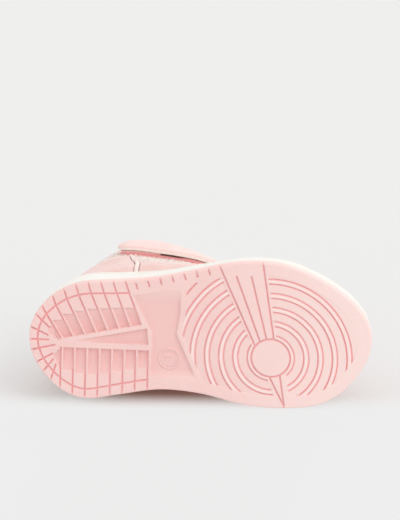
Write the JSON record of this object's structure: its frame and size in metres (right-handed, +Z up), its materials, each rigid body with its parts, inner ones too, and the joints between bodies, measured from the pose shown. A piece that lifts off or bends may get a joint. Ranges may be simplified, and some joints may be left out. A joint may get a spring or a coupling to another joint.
{
  "type": "toddler high-top bootie",
  "caption": "Right-foot toddler high-top bootie: tread outsole and rubber cup sole, fleece and coated upper, padded tongue and hook-and-loop ankle strap.",
  "frame": {"origin": "on the ground under the middle of the sole's box", "axes": "+X towards the toe, +Z up, -Y to the outer (lateral) side of a right shoe"},
  "size_m": [0.1525, 0.0664, 0.1009],
  "materials": {
    "outsole_rubber": "matte moulded rubber",
    "cup_rubber": "satin moulded rubber",
    "foam": "open-cell foam",
    "board": "stitched fibre board",
    "fleece_lining": "short-pile fleece",
    "fleece_cream": "long-pile fleece",
    "fleece_pink": "curly teddy fleece",
    "stiffener": "thermoformed sheet",
    "synthetic_pink": "smooth coated synthetic leather",
    "piping": "folded synthetic edge",
    "webbing": "woven tape",
    "elastic": "woven elastic tape",
    "strap_backing": "knitted lining with folded edge",
    "hook_tape": "hook tape",
    "loop_tape": "loop tape"
  },
  "bodies": {
    "root": {"collar_foam": "foam", "collar_roll": "fleece_cream", "cupsole": "cup_rubber", "elastic_bands": "elastic", "eyestay_lateral": "synthetic_pink", "eyestay_medial": "synthetic_pink", "footbed": "fleece_lining", "foxing_lateral": "synthetic_pink", "foxing_medial": "synthetic_pink", "heel_counter": "stiffener", "heel_overlay": "synthetic_pink", "heel_piping_lateral": "piping", "heel_piping_medial": "piping", "heel_tab": "webbing", "insole_board": "board", "lining_lateral": "fleece_lining", "lining_medial": "fleece_lining", "loop_patch": "loop_tape", "midsole_wedge": "foam", "mudguard": "synthetic_pink", "outsole": "outsole_rubber", "quarter_foam_lateral": "foam", "quarter_foam_medial": "foam", "quarter_lateral": "fleece_pink", "quarter_medial": "fleece_pink", "strap_anchor_backing": "strap_backing", "strap_anchor_skin": "synthetic_pink", "toe_puff": "stiffener", "tongue_base": "fleece_pink", "vamp": "fleece_pink"},
    "strap_band": {"strap_band_skin": "synthetic_pink", "strap_band_backing": "strap_backing"},
    "strap_tip": {"strap_tip_skin": "synthetic_pink", "strap_tip_backing": "strap_backing", "hook_patch": "hook_tape"},
    "tongue": {"tongue_top": "fleece_pink"}
  },
  "joints": [
    {"name": "strap_open", "type": "hinge", "parent": "root", "child": "strap_band", "pos_m": [0.00151, 0.01907, 0.07362], "axis": [-0.3934, 0.0268, 0.919], "range_deg": [0, 110]},
    {"name": "strap_peel", "type": "hinge", "parent": "strap_band", "child": "strap_tip", "pos_m": [-0.02565, -0.02423, 0.07015], "axis": [-0.2743, 0.0549, 0.9601], "range_deg": [0, 70]},
    {"name": "tongue_tilt", "type": "hinge", "parent": "root", "child": "tongue", "pos_m": [0.01689, 0.00194, 0.05901], "axis": [0, 1, 0], "range_deg": [0, 22]}
  ],
  "couplings": [
    {"joint": "tongue_tilt", "follows": "strap_open", "ratio": 0.2}
  ]
}
